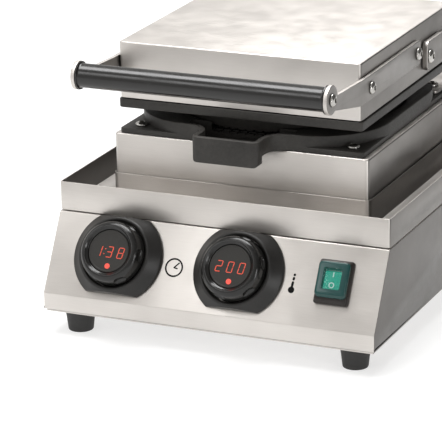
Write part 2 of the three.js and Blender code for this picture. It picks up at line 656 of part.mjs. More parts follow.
// A four-sided cap that narrows to a smaller, shifted top, hollow underneath.
function taperedCap([width, length], [topWidth, topLength], [z0, z1], shift) {
  const cap = new THREE.BoxGeometry(width, length, z1 - z0).translate(0, 0, (z0 + z1) / 2);
  const corners = cap.attributes.position;
  for (let i = 0; i < corners.count; i += 1) {
    if (corners.getZ(i) > (z0 + z1) / 2) {
      corners.setX(i, corners.getX(i) * topWidth / width);
      corners.setY(i, corners.getY(i) * topLength / length + shift);
    }
  }
  return cap;
}

function switchBoot() {
  const seat = SWITCH.frame + GAP;
  const wall = 2 * BOOT.wall;
  const { width, length, topWidth, topLength, topShift, height } = BOOT;
  const cap = taperedCap([width, length], [topWidth, topLength], [seat, height], topShift);
  const hollow = taperedCap([width - 4 * wall, length - 4 * wall], [topWidth - wall, topLength - wall],
    [seat - 0.5, height - BOOT.wall], topShift / 2);
  return cut(cap, hollow);
}

function switchRocker() {
  const { width: w, length: l, crown } = ROCKER;
  const side = new THREE.Shape();
  side.moveTo(-l / 2, 3.6);
  side.quadraticCurveTo(-l / 2 + 1, -4, 0, -5);
  side.quadraticCurveTo(l / 2 - 1, -4, l / 2, 3.6);
  side.lineTo(l / 2 - 0.8, crown - 1.6);
  side.quadraticCurveTo(0, crown - 0.8, -l / 2 + 1.6, crown);
  return across(side, [-w / 2, w / 2], 6);
}

const onSwitch = (geometry) => geometry.translate(SWITCH.across, PANEL.switchUp, 0);
add(panel, 'switch_housing', onSwitch(switchHousing()), blackPlastic());
add(panel, 'switch_boot', onSwitch(switchBoot()), plain(0x14463f, 0.3));
add(panel, 'switch_rocker', onSwitch(switchRocker()), plain(0x14a082, 0.3));

// Electrics inside the base

function controlBoard() {
  const board = block([-128, 62], [8, 68], [-22, -20.4]);
  const parts = [
    block([-40, -12], [14, 40], [-34, -21]), block([-60, -45], [16, 46], [-36, -21]),
    block([40, 56], [16, 34], [-32, -21]), cylinder(6, [-38, -21], 16).translate(-30, 54, 0),
  ];
  return join(board, ...parts);
}

function terminalBlock() {
  const body = block([60, 130], [290, 312], [26, 44]);
  const holes = [];
  for (let i = 0; i < 5; i += 1) {
    holes.push(moved(cylinder(3, [30, 50], 12), 68 + 13.5 * i, 301, 0));
  }
  return cut(body, ...holes);
}

const thermostat = turned([[0, 0], [14, 0], [14, 16], [6, 18], [6, 30], [0, 30]], 14);
const gland = turned([
  [0, -8], [7.6, -8], [7.6, GAP], [12.5, GAP], [12.5, 6], [10.5, 8], [8.5, GLAND.reach],
  [5, GLAND.reach], [5, 4], [0, 4],
], 16);

add(panel, 'control_board', controlBoard(), plain(0x1f5a34, 0.6));
add(machine, 'power_relay', block([-60, -10], [230, 275], [26, 62]), plain(0x2a2a2c, 0.5));
add(machine, 'safety_thermostat', moved(thermostat, 70, 150, 26), plain(0xd8d4c8, 0.5));
add(machine, 'terminal_block', terminalBlock(), plain(0xe4e0d4, 0.5));
add(machine, 'cable_gland', crossDepth(gland, GLAND.across, BASE.rear, GLAND.height), blackPlastic());

export default product;
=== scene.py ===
"""The looks of the waffle cone maker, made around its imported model.

Metres, +Z up, the front towards -Y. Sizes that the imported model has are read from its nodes' boxes.
"""

import json
import math

import bmesh
import bpy
from mathutils import Matrix, Vector


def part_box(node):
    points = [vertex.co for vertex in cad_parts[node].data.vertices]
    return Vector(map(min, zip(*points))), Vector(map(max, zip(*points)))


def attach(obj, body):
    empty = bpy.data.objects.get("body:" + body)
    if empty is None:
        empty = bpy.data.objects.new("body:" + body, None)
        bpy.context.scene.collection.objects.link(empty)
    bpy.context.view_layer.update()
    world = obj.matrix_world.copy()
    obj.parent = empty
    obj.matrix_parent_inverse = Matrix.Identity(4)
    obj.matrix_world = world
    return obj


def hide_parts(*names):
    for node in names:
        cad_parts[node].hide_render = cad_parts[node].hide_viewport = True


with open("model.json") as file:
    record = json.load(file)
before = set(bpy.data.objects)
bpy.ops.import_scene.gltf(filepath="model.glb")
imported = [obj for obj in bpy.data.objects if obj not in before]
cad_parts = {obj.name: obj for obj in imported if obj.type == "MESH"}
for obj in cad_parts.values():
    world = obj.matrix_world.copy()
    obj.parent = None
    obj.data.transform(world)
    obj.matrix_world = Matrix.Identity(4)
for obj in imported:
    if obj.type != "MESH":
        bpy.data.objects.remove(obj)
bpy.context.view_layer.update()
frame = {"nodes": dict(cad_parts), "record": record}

MM = 0.001
MERGE_DISTANCE = 1e-7
SMOOTH_ANGLE = math.radians(32)
QUARTER = math.pi / 2
scene = bpy.context.scene


# Outlines, lofts and lathes


def arc(centre, radius, start, end, steps):
    """Points along an arc between two angles in degrees, both ends included."""
    points = []
    for i in range(steps + 1):
        angle = math.radians(start + (end - start) * i / steps)
        points.append((centre[0] + radius * math.cos(angle), centre[1] + radius * math.sin(angle)))
    return points


def rounded_rectangle(x0, x1, y0, y1, radius, steps=6):
    """A rectangle's outline with each corner as an arc."""
    corners = (
        (x1 - radius, y1 - radius, 0),
        (x0 + radius, y1 - radius, 90),
        (x0 + radius, y0 + radius, 180),
        (x1 - radius, y0 + radius, 270),
    )
    return [p for x, y, start in corners for p in arc((x, y), radius, start, start + 90, steps)]


def filleted(corners, radius, steps=5):
    """The closed polygon with each corner turned into an arc."""
    points = []
    for i, corner in enumerate(corners):
        here = Vector(corner)
        before = (Vector(corners[i - 1]) - here).normalized()
        after = (Vector(corners[(i + 1) % len(corners)]) - here).normalized()
        half = before.angle(after) / 2
        centre = here + (before + after).normalized() * radius / math.sin(half)
        start = here + before * radius / math.tan(half) - centre
        sweep = math.atan2(start.x * after.y - start.y * after.x, start.dot(after))
        sweep = math.copysign(math.pi - 2 * half, sweep)
        for k in range(steps + 1):
            points.append(tuple(centre + Matrix.Rotation(sweep * k / steps, 2) @ start))
    return points


def closed_mesh(vertices, faces):
    """A mesh with its doubles merged and its faces turned outwards."""
    shape = bmesh.new()
    made = [shape.verts.new(v) for v in vertices]
    for face in faces:
        shape.faces.new([made[i] for i in face])
    bmesh.ops.remove_doubles(shape, verts=shape.verts, dist=MERGE_DISTANCE)
    bmesh.ops.recalc_face_normals(shape, faces=shape.faces)
    mesh = bpy.data.meshes.new("shape")
    shape.to_mesh(mesh)
    shape.free()
    return mesh


def loft(loops, joined_ends=False):
    """A closed body through loops of equal length, capped or joined from its last loop to its first."""
    count = len(loops[0])
    vertices = [p for loop in loops for p in loop]
    faces = []
    for a in range(len(loops) if joined_ends else len(loops) - 1):
        b = (a + 1) % len(loops)
        for i in range(count):
            j = (i + 1) % count
            faces.append((a * count + i, a * count + j, b * count + j, b * count + i))
    if not joined_ends:
        faces.append(tuple(range(count)))
        faces.append(tuple(range(len(vertices) - count, len(vertices))))
    return closed_mesh(vertices, faces)


def fillet_levels(low, high, low_radius, high_radius, steps=4):
    """Pairs of inset and height up a wall whose lower and upper edges are rounded."""
    low_arc = arc((low_radius, low + low_radius), low_radius, 270, 180, steps)
    high_arc = arc((high_radius, high - high_radius), high_radius, 180, 90, steps)
    return low_arc + high_arc


def slab(bounds, corner, low, high, low_radius=0.3 * MM, high_radius=0.3 * MM, steps=6):
    """A flat body with rounded corners and rounded lower and upper edges."""
    x0, x1, y0, y1 = bounds
    loops = []
    for inset, z in fillet_levels(low, high, low_radius, high_radius):
        outline = rounded_rectangle(
            x0 + inset, x1 - inset, y0 + inset, y1 - inset, max(corner - inset, 0.05 * MM), steps)
        loops.append([(x, y, z) for x, y in outline])
    return loft(loops)


def plate_across(outline, x0, x1, edge=0.35 * MM):
    """A Y-Z outline carried from x0 to x1, its outer faces inset by a small rounded edge."""
    loops = []
    for inset, x in fillet_levels(x0, x1, edge, edge, 3):
        ring = []
        for i, point in enumerate(outline):
            along = Vector(outline[(i + 1) % len(outline)]) - Vector(outline[i - 1])
            inward = Vector((-along.y, along.x)).normalized() * inset
            ring.append((x, point[0] + inward.x, point[1] + inward.y))
        loops.append(ring)
    return loft(loops)


def lathe(profile, segments=64, hollow=False):
    """A profile of radius and height turned about Z; a hollow one closes on itself."""
    rings = []
    for radius, height in profile:
        angles = [2 * math.pi * i / segments for i in range(segments)]
        reach = max(radius, 1e-9)
        rings.append([(reach * math.cos(a), reach * math.sin(a), height) for a in angles])
    return loft(rings, joined_ends=hollow)


def moved(mesh, *transforms):
    """The mesh after each transform in turn."""
    for transform in transforms:
        mesh.transform(transform)
    return mesh


def combined(mesh, operation, *others):
    """The mesh joined with, cut by or limited to the others, as one closed body."""
    body = bpy.data.objects.new("body", mesh)
    scene.collection.objects.link(body)
    tools = []
    for other in others:
        tool = bpy.data.objects.new("tool", other)
        scene.collection.objects.link(tool)
        tools.append(tool)
        modifier = body.modifiers.new("combine", "BOOLEAN")
        modifier.operation = operation
        modifier.solver = "MANIFOLD"
        modifier.object = tool
    result = bpy.data.meshes.new_from_object(body.evaluated_get(bpy.context.evaluated_depsgraph_get()))
    for obj in (body, *tools):
        bpy.data.objects.remove(obj)
    return result


# Materials


class Nodes:
    """Short calls for building one material's node tree around its shader."""

    def __init__(self, name, **constants):
        self.material = bpy.data.materials.new(name)
        self.material.use_nodes = True
        self.tree = self.material.node_tree
        self.shader = self.tree.nodes["Principled BSDF"]
        for socket, value in constants.items():
            self.shader.inputs[socket.replace("_", " ")].default_value = value

    def add(self, kind, inputs=(), **settings):
        node = self.tree.nodes.new(kind)
        for key, value in settings.items():
            setattr(node, key, value)
        for socket, value in dict(inputs).items():
            self.feed(value, node.inputs[socket])
        return node

    def feed(self, value, socket):
        if isinstance(value, bpy.types.NodeSocket):
            self.tree.links.new(value, socket)
        else:
            socket.default_value = value

    def coordinates(self, output="Object"):
        return self.add("ShaderNodeTexCoord").outputs[output]

    def noise(self, scale, detail=3.0, roughness=0.5, stretch=None):
        """Noise from 0 to 1 in object space; scale is features for each metre."""
        place = self.coordinates()
        if stretch:
            place = self.add("ShaderNodeMapping", {"Vector": place, "Scale": stretch}).outputs["Vector"]
        made = self.add(
            "ShaderNodeTexNoise",
            {"Vector": place, "Scale": scale, "Detail": detail, "Roughness": roughness})
        return made.outputs["Fac"]

    def ramp(self, factor, low, high, start=0.3, end=0.7):
        """Maps the middle of a factor's range to between two values."""
        made = self.add(
            "ShaderNodeMapRange",
            {"Value": factor, "From Min": start, "From Max": end, "To Min": low, "To Max": high})
        return made.outputs["Result"]

    def tones(self, factor, dark, light, start=0.3, end=0.7):
        made = self.add("ShaderNodeValToRGB", {"Fac": factor})
        first, last = made.color_ramp.elements
        first.position, first.color = start, (*dark, 1)
        last.position, last.color = end, (*light, 1)
        return made.outputs["Color"]

    def mix(self, factor, a, b):
        made = self.add("ShaderNodeMix", {"Factor": factor, "A": a, "B": b}, data_type="FLOAT")
        return made.outputs["Result"]

    def blend(self, factor, a, b):
        made = self.add("ShaderNodeMix", {0: factor, 6: a, 7: b}, data_type="RGBA")
        return made.outputs[2]

    def bump(self, height, distance, strength=1.0, below=None):
        inputs = {"Height": height, "Distance": distance, "Strength": strength}
        if below:
            inputs["Normal"] = below
        return self.add("ShaderNodeBump", inputs).outputs["Normal"]

    def shade(self, **links):
        for socket, value in links.items():
            self.feed(value, self.shader.inputs[socket.replace("_", " ")])
        return self.material


def brushed_grain(nodes):
    """Fine streaks along X, or along Y on the faces that look sideways."""
    squeeze = 8 ** -1.6
    streaks = [
        nodes.noise(1400, 4, 0.65, stretch=stretch)
        for stretch in ((squeeze, 1, 1), (1, squeeze, 1))]
    normal = nodes.add("ShaderNodeSeparateXYZ", {"Vector": nodes.coordinates("Normal")})
    sideways = nodes.add("ShaderNodeMath", {0: normal.outputs["X"]}, operation="ABSOLUTE")
    facing = nodes.add("ShaderNodeMath", {0: sideways.outputs[0], 1: 0.7}, operation="GREATER_THAN")
    return nodes.mix(facing.outputs[0], streaks[0], streaks[1]), facing.outputs[0]


def brushed_steel(name, dark, light, roughness, painted_side_shade=0.36, relief=0.35):
    """Brushed sheet, with painted shade on the faces that look sideways: their colour is a darker copy of
    the steel's tones; relief is the grain's depth.
    """
    nodes = Nodes(name, Metallic=1.0, Anisotropic=0.55)
    grain, facing = brushed_grain(nodes)
    cloud = nodes.noise(14, 2, 0.5)
    smudge = nodes.noise(55, 3, 0.6)
    tone = nodes.mix(0.25, cloud, grain)
    finish = nodes.mix(0.4, smudge, grain)
    upright = nodes.add("ShaderNodeTangent", direction_type="RADIAL", axis="X")
    front = nodes.tones(tone, dark, light)
    # Painted shade: the sideways faces take the steel's own tones scaled darker, a lit and a shaded copy of
    # one finish.
    side = nodes.tones(tone, [c * painted_side_shade for c in dark], [c * painted_side_shade for c in light])
    return nodes.shade(
        Base_Color=nodes.blend(facing, front, side),
        Roughness=nodes.ramp(finish, roughness - 0.05, roughness + 0.07),
        Tangent=upright.outputs["Tangent"],
        Normal=nodes.bump(grain, 0.02 * MM, relief))


def cast_iron():
    nodes = Nodes("cast_iron_seasoned", Metallic=0.0, Specular_IOR_Level=0.3)
    coarse = nodes.noise(420, 4, 0.65)
    fine = nodes.noise(1500, 3, 0.7)
    stain = nodes.noise(22, 3, 0.55)
    worn = nodes.add("ShaderNodeNewGeometry").outputs["Pointiness"]
    tone = nodes.mix(0.45, stain, coarse)
    edges = nodes.ramp(worn, 0.0, 0.6, 0.52, 0.62)
    surface = nodes.bump(coarse, 0.25 * MM, 0.55)
    return nodes.shade(
        Base_Color=nodes.tones(
            nodes.mix(edges, tone, fine), (0.014, 0.0132, 0.012), (0.046, 0.043, 0.039)),
        Roughness=nodes.ramp(nodes.mix(0.5, coarse, fine), 0.38, 0.66),
        Normal=nodes.bump(fine, 0.08 * MM, 0.6, surface))


def polished_steel():
    nodes = Nodes("screw_steel_polished", Metallic=1.0)
    swirl = nodes.noise(900, 3, 0.6)
    return nodes.shade(
        Base_Color=nodes.tones(nodes.noise(160, 2), (0.34, 0.33, 0.31), (0.50, 0.49, 0.47)),
        Roughness=nodes.ramp(swirl, 0.10, 0.22),
        Normal=nodes.bump(swirl, 0.01 * MM, 0.4))


def plastic(name, dark, light, roughness, grain=1200, depth=0.02 * MM, **constants):
    """A moulded surface with a fine texture, slight clouding and handling marks."""
    nodes = Nodes(name, **constants)
    texture = nodes.noise(grain, 2, 0.6)
    handling = nodes.noise(38, 3, 0.6)
    return nodes.shade(
        Base_Color=nodes.tones(nodes.mix(0.4, handling, texture), dark, light),
        Roughness=nodes.ramp(nodes.mix(0.35, handling, texture), roughness - 0.06, roughness + 0.08),
        Normal=nodes.bump(texture, depth, 0.5))


def glowing(name, colour, strength):
    """A lit lens with a brighter, uneven core."""
    nodes = Nodes(name, Roughness=0.3, Emission_Strength=strength)
    cells = nodes.noise(700, 2, 0.5)
    glow = nodes.tones(cells, [c * 0.75 for c in colour], colour)
    lens = nodes.tones(cells, [c * 0.1 for c in colour], [c * 0.2 for c in colour])
    return nodes.shade(Base_Color=lens, Emission_Color=glow)


STEEL_TONES = (0.50, 0.475, 0.45), (0.64, 0.61, 0.58)
FINISHES = {
    "stainless": brushed_steel("stainless_brushed", *STEEL_TONES, 0.40),
    "cast_iron": cast_iron(),
    "screw_steel": polished_steel(),
    "handle_black": plastic(
        "handle_satin_black", (0.006, 0.0055, 0.005), (0.010, 0.0095, 0.009), 0.2, 1600, 0.0015 * MM,
        Specular_IOR_Level=0.5),
    "control_black": plastic(
        "control_black", (0.008, 0.0075, 0.007), (0.018, 0.017, 0.016), 0.34, Specular_IOR_Level=0.32),
    "display_window": plastic(
        "display_smoked", (0.016, 0.015, 0.0135), (0.024, 0.0225, 0.020), 0.42, Specular_IOR_Level=0.3),
    "switch_boot": plastic(
        "boot_teal_rubber", (0.004, 0.036, 0.034), (0.009, 0.062, 0.057), 0.2, 900, Specular_IOR_Level=0.4),
    "switch_green": glowing("switch_lens_green", (0.02, 0.62, 0.42), 0.45),
    "rubber": plastic("rubber_black", (0.010, 0.010, 0.010), (0.024, 0.023, 0.022), 0.62, 700, 0.06 * MM),
    "heater_sheath": brushed_steel("heater_sheath_grey", (0.20, 0.18, 0.16), (0.34, 0.31, 0.28), 0.45),
    "mineral_wool": plastic("mineral_wool", (0.55, 0.52, 0.44), (0.80, 0.77, 0.68), 0.9, 500, 0.4 * MM),
    "circuit_board": plastic("circuit_board", (0.010, 0.075, 0.030), (0.020, 0.130, 0.055), 0.45),
    "relay_case": plastic("relay_case", (0.015, 0.015, 0.017), (0.035, 0.035, 0.038), 0.4),
    "ceramic": plastic("ceramic_cream", (0.62, 0.58, 0.50), (0.78, 0.75, 0.67), 0.35),
}
# The panel's sideways faces carry a deeper painted shade, at 0.24 of the front tones.
PANEL_STEEL = brushed_steel("stainless_panel", *STEEL_TONES, 0.34, painted_side_shade=0.24, relief=0.05)
SCALLOP_GLOSS = plastic(
    "knob_gloss_black", (0.006, 0.006, 0.0055), (0.012, 0.0115, 0.011), 0.17, 1500, 0.004 * MM,
    Specular_IOR_Level=0.38)
DIGIT_RED = glowing("digit_red", (0.95, 0.085, 0.03), 0.8)
LAMP_RED = glowing("lamp_red", (1.0, 0.085, 0.05), 1.0)
PRINT_BLACK = plastic(
    "print_black", (0.003, 0.003, 0.003), (0.006, 0.006, 0.006), 0.6, Specular_IOR_Level=0.1)
PRINT_WHITE = plastic("print_white", (0.75, 0.78, 0.76), (0.90, 0.92, 0.90), 0.4)
BOOT_SKIRT = plastic(
    "boot_skirt_rubber", (0.009, 0.007, 0.006), (0.018, 0.014, 0.012), 0.3, Specular_IOR_Level=0.35)
BOOT_WINDOW = plastic(
    "boot_window_clear", (0.02, 0.20, 0.16), (0.03, 0.26, 0.21), 0.12, 900, 0.004 * MM, Alpha=0.16)


def piece(name, body, slot, mesh, replaced=(), material=None):
    """A shown piece: smooth with sharp creases, riding on its body and standing for the nodes named."""
    mesh.name = name
    mesh.materials.clear()
    mesh.materials.append(material or FINISHES[slot])
    mesh.shade_smooth()
    mesh.set_sharp_from_angle(angle=SMOOTH_ANGLE)
    obj = bpy.data.objects.new(name, mesh)
    scene.collection.objects.link(obj)
    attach(obj, body)
    if replaced:
        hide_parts(*replaced)
    return obj


# Carried-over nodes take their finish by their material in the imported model

for part in frame["record"]["subparts"]:
    shown = frame["nodes"][part["node"]]
    shown.data.materials.clear()
    shown.data.materials.append(FINISHES[part["material_slot"]])

# Sheet-metal shells


def shell_top(node, corner, top_radius, sheet=1.5 * MM, bottom_radius=0.3 * MM):
    """A box of sheet metal, open underneath, the size of its node."""
    low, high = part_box(node)
    outer = slab((low.x, high.x, low.y, high.y), corner, low.z, high.z, bottom_radius, top_radius)
    inside = slab(
        (low.x + sheet, high.x - sheet, low.y + sheet, high.y - sheet),
        max(corner - sheet, 0.6 * MM), low.z - sheet, high.z - sheet, sheet / 3, top_radius / 2)
    return combined(outer, "DIFFERENCE", inside)


def base_shell():
    """The housing's folded outline carried across the machine, hollow, with cooling slots behind."""
    low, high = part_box("base_housing")
    tray_low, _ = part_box("drip_tray")
    sheet, bend = 1.5 * MM, 2.2 * MM
    fold_height, panel_top = 37.7 * MM, tray_low.y - 0.5 * MM
    corners = [
        (low.y, low.z), (high.y, low.z), (high.y, high.z), (panel_top, high.z), (low.y, fold_height)]
    outer = plate_across(filleted(corners, bend), low.x, high.x, 0.7 * MM)
    hollow_corners = [
        (low.y + sheet, low.z - sheet), (high.y - sheet, low.z - sheet), (high.y - sheet, high.z - sheet),
        (panel_top + sheet, high.z - sheet), (low.y + sheet, fold_height)]
    hollow = plate_across(filleted(hollow_corners, bend / 2), low.x + sheet, high.x - sheet)
    slots = []
    for row in range(5):
        z = (42 + 9 * row) * MM
        slots.append(moved(
            slab((-0.11, -0.03, -0.002, 0.002), 1.9 * MM, -4 * MM, 4 * MM),
            Matrix.Rotation(QUARTER, 4, "X"), Matrix.Translation((0, high.y, z + 2 * MM))))
    return combined(outer, "DIFFERENCE", hollow, *slots)


def tray_pan():
    """The drip tray: a wall with a hemmed rim, a flat floor and a collar around the pedestal."""
    low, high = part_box("drip_tray")
    inner_low, inner_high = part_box("lower_heater_housing")
    wall, rim = 1.3 * MM, 128.7 * MM
    floor_top = low.z + wall
    clear, collar = 0.95 * MM, 1.5 * MM

    def outer(inset, z):
        return [(x, y, z) for x, y in rounded_rectangle(
            low.x + inset, high.x - inset, low.y + inset, high.y - inset, max(3 * MM - inset, 0.3 * MM))]

    def inner(out, z):
        return [(x, y, z) for x, y in rounded_rectangle(
            inner_low.x - out, inner_high.x + out, inner_low.y - out, inner_high.y + out, 4 * MM + out)]

    fold = 0.9 * MM
    loops = [outer(fold, low.z)]
    loops += [outer(inset, z) for inset, z in (
        (fold * 0.3, low.z + fold * 0.3), (0, low.z + fold), (0, rim - 0.4 * MM),
        (0.15 * MM, rim - 0.1 * MM), (0.45 * MM, rim), (wall - 0.45 * MM, rim),
        (wall - 0.15 * MM, rim - 0.1 * MM), (wall, rim - 0.4 * MM), (wall, floor_top + fold),
        (wall + fold * 0.3, floor_top + fold * 0.3), (wall + fold, floor_top))]
    loops += [inner(out, z) for out, z in (
        (collar + fold, floor_top), (collar + fold * 0.3, floor_top + fold * 0.3),
        (collar, floor_top + fold), (collar, high.z - 0.1 * MM), (collar - 0.1 * MM, high.z),
        (clear + 0.1 * MM, high.z), (clear, high.z - 0.1 * MM), (clear, low.z))]
    return loft(loops, joined_ends=True)


piece("base_shell", "base", "stainless", base_shell(), ["base_housing"], PANEL_STEEL)
piece("tray_pan", "base", "stainless", tray_pan(), ["drip_tray"])
piece("pedestal_shell", "base", "stainless",
      shell_top("lower_heater_housing", 4 * MM, 1.6 * MM), ["lower_heater_housing"])
piece("lid_shell", "lid", "stainless", shell_top("lid_housing", 3 * MM, 1.4 * MM), ["lid_housing"])

# Castings

SLAB_CORNER = 3.5 * MM
EDGE = 0.9 * MM
LOWER_SLAB = (165.7 * MM, 170.3 * MM)
RING_CORNER = 65 * MM
WELL_RADIUS, WELL_FLOOR, BAKING_SURFACE = 106 * MM, 171.2 * MM, 172.4 * MM
TROUGH_FLOOR, TROUGH_WALL = 167.9 * MM, 5 * MM
SPOUT_HALF, SPOUT_FLARE = 31.5 * MM, 18 * MM
UPPER_SLAB_LOW, DISC_RADIUS = 189.7 * MM, 103 * MM
PAD_SINK = 0.4 * MM


def mouth_plan(half, front, rear, flare, inset):
    """The overflow mouth from above: straight sides that flare out into the plate."""
    corner = 6.5 * MM
    right = arc((half - corner, front + corner), corner - inset if corner > inset else 0, 270, 360, 8)
    right += arc((half + flare, rear - flare), flare + inset, 180, 90, 10)
    right += [(half + flare, rear + 14 * MM)]
    return right + [(-x, y) for x, y in reversed(right)]


def waffle_pads(centre_y, low, high, narrow_top):
    """Raised square pads in a round field, separated by the grooves that print the cone."""
    pitch, wide, narrow, field = 8 * MM, 6.9 * MM, 5.6 * MM, 101 * MM
    count = int(field / pitch) + 1
    vertices, faces = [], []
    for i in range(-count, count):
        for j in range(-count, count):
            cx, cy = (i + 0.5) * pitch, (j + 0.5) * pitch
            if math.hypot(cx, cy) > field + pitch:
                continue
            start = len(vertices)
            for z, side in ((low, wide if narrow_top else narrow), (high, narrow if narrow_top else wide)):
                h = side / 2
                vertices += [
                    (cx + dx * h, centre_y + cy + dy * h, z)
                    for dx, dy in ((-1, -1), (1, -1), (1, 1), (-1, 1))]
            box = ((3, 2, 1, 0), (4, 5, 6, 7), (0, 1, 5, 4), (1, 2, 6, 5), (2, 3, 7, 6), (3, 0, 4, 7))
            faces += [tuple(start + k for k in face) for face in box]
    disc = moved(
        lathe([(0, low - MM), (field, low - MM), (field, high + MM), (0, high + MM)], 96),
        Matrix.Translation((0, centre_y, 0)))
    return combined(closed_mesh(vertices, faces), "INTERSECT", disc)


def hollow_levels(side, floor, top, outwards):
    """Pairs of side and height up a cavity: a rounded foot, an upright wall and a rounded lip."""
    return [
        (side - outwards * 1.6 * MM, floor), (side - outwards * 0.5 * MM, floor + 0.5 * MM),
        (side, floor + 1.6 * MM), (side, top - EDGE), (side + outwards * EDGE * 0.3, top - EDGE * 0.3),
        (side + outwards * EDGE, top + 0.02 * MM), (side + outwards * EDGE, top + MM)]


def plate_centre():
    """Where the round baking field is centred, from front to back."""
    _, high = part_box("lower_baking_plate")
    return high.y - high.x


def strap_seat(sign, top):
    """The notch in the wall over one hinge bracket's strap."""
    strap_low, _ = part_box("hinge_bracket_right")
    _, plate_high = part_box("lower_baking_plate")
    ends = sorted((sign * (strap_low.x - MM), sign * plate_high.x * 1.1))
    return slab((*ends, strap_low.y - MM, plate_high.y + 2 * MM), 2 * MM, LOWER_SLAB[1], top)


def lower_casting():
    """The lower plate: a square slab, a raised wall around the round well, and the overflow spout."""
    low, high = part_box("lower_baking_plate")
    half, centre_y = high.x, plate_centre()
    front = centre_y - half
    bottom, slab_top = LOWER_SLAB

    def mouth(levels):
        return loft([
            [(x, y, z) for x, y in mouth_plan(SPOUT_HALF, low.y, front, SPOUT_FLARE, inset)]
            for inset, z in levels])

    square = (-half, half, front, high.y)
    body = slab(square, SLAB_CORNER, bottom, slab_top, 0.8 * MM, EDGE)
    wall = slab(square, RING_CORNER, bottom + MM, high.z, 0.2 * MM, EDGE, 20)
    wall = combined(wall, "DIFFERENCE", *(strap_seat(sign, high.z + MM) for sign in (-1, 1)))
    block = slab(
        (-SPOUT_HALF, SPOUT_HALF, low.y, low.y + 15 * MM), 6.5 * MM, low.z, high.z, 1.2 * MM, EDGE, 10)
    face = moved(
        slab((-SPOUT_HALF, SPOUT_HALF, low.z, high.z + 20 * MM), 5 * MM, -MM, 20 * MM),
        Matrix.Rotation(QUARTER, 4, "X"), Matrix.Translation((0, low.y + 19 * MM, 0)))
    block = combined(block, "INTERSECT", face)
    rim = mouth(fillet_levels(bottom, high.z, 0.8 * MM, EDGE))
    well_side = hollow_levels(WELL_RADIUS, WELL_FLOOR, high.z, 1)
    well = moved(
        lathe([(0, WELL_FLOOR), *well_side, (0, high.z + MM)], 144), Matrix.Translation((0, centre_y, 0)))
    trough = mouth(hollow_levels(TROUGH_WALL, TROUGH_FLOOR, high.z, -1))
    joined = combined(body, "UNION", wall, block, rim)
    pads = waffle_pads(centre_y, WELL_FLOOR - PAD_SINK, BAKING_SURFACE, True)
    return combined(joined, "DIFFERENCE", well, trough), pads


def upper_casting():
    """The upper plate: a square slab and the disc that fills the well."""
    low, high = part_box("upper_baking_plate")
    bevel, face = 1.2 * MM, low.z + 1.2 * MM
    radius, slab_low = DISC_RADIUS, UPPER_SLAB_LOW
    body = slab((low.x, high.x, low.y, high.y), SLAB_CORNER, slab_low, high.z, EDGE, 0.6 * MM)
    profile = [
        (0, face), (radius - bevel, face), (radius - 0.4 * MM, face + 0.4 * MM), (radius, face + bevel),
        (radius, slab_low - bevel), (radius + 0.4 * MM, slab_low - 0.4 * MM),
        (radius + bevel, slab_low + 0.2 * MM), (radius + bevel, slab_low + MM), (0, slab_low + MM)]
    disc = moved(lathe(profile, 144), Matrix.Translation((0, plate_centre(), 0)))
    pads = waffle_pads(plate_centre(), low.z, face + PAD_SINK, False)
    return combined(body, "UNION", disc), pads


lower_plate, lower_pads = lower_casting()
upper_plate, upper_pads = upper_casting()
piece("lower_casting", "base", "cast_iron", lower_plate, ["lower_baking_plate"])
piece("lower_waffle_grid", "base", "cast_iron", lower_pads)
piece("upper_casting", "lid", "cast_iron", upper_plate, ["upper_baking_plate"])
piece("upper_waffle_grid", "lid", "cast_iron", upper_pads)

# Lid arms, handle and hinge

TO_X = Matrix.Rotation(QUARTER, 4, "Y")


def rod_across(profile, y, z, segments=64):
    """A profile of radius and position along X turned about a line across the machine."""
    return moved(lathe(profile, segments), TO_X, Matrix.Translation((0, y, z)))


def mirrored_profile(half_profile):
    """The profile of a rod that is the same at both ends, from its left end to its right."""
    return [(r, -x) for r, x in half_profile] + [(r, x) for r, x in reversed(half_profile)]


def lid_arm(node):
    """A flat arm: a round eye for the handle, then a bend up to the straight part on the lid."""
    low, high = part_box(node)
    eye_radius = 12.5 * MM
    eye = (low.y + eye_radius, high.z - eye_radius)
    upper_edge, bend, corner = 236.9 * MM, low.y + 80.9 * MM, 3 * MM
    points = arc(eye, eye_radius, math.degrees(0.1), math.degrees(-1.04) + 360, 40)
    points += [(bend - 2 * MM, low.z)]
    points += arc((high.y - corner, low.z + corner), corner, -90, 0, 5)
    points += arc((high.y - corner, upper_edge - corner), corner, 0, 90, 5)
    points += [(bend, upper_edge)]
    return plate_across(points, low.x, high.x, 0.45 * MM)


def handle():
    """The turned grip with a collar at each end."""
    low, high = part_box("handle_grip")
    grip = 10.5 * MM
    flange, end = (high.z - low.z) / 2, high.x
    profile = mirrored_profile([
        (0, end), (flange - 0.5 * MM, end), (flange - 0.1 * MM, end - 0.15 * MM), (flange, end - 0.5 * MM),
        (flange, end - 1.0 * MM), (flange - 0.3 * MM, end - 1.3 * MM), (grip + 0.4 * MM, end - 1.6 * MM),
        (grip + 0.1 * MM, end - 2.0 * MM), (grip, end - 2.8 * MM)])
    return rod_across(profile, (low.y + high.y) / 2, (low.z + high.z) / 2, 96)


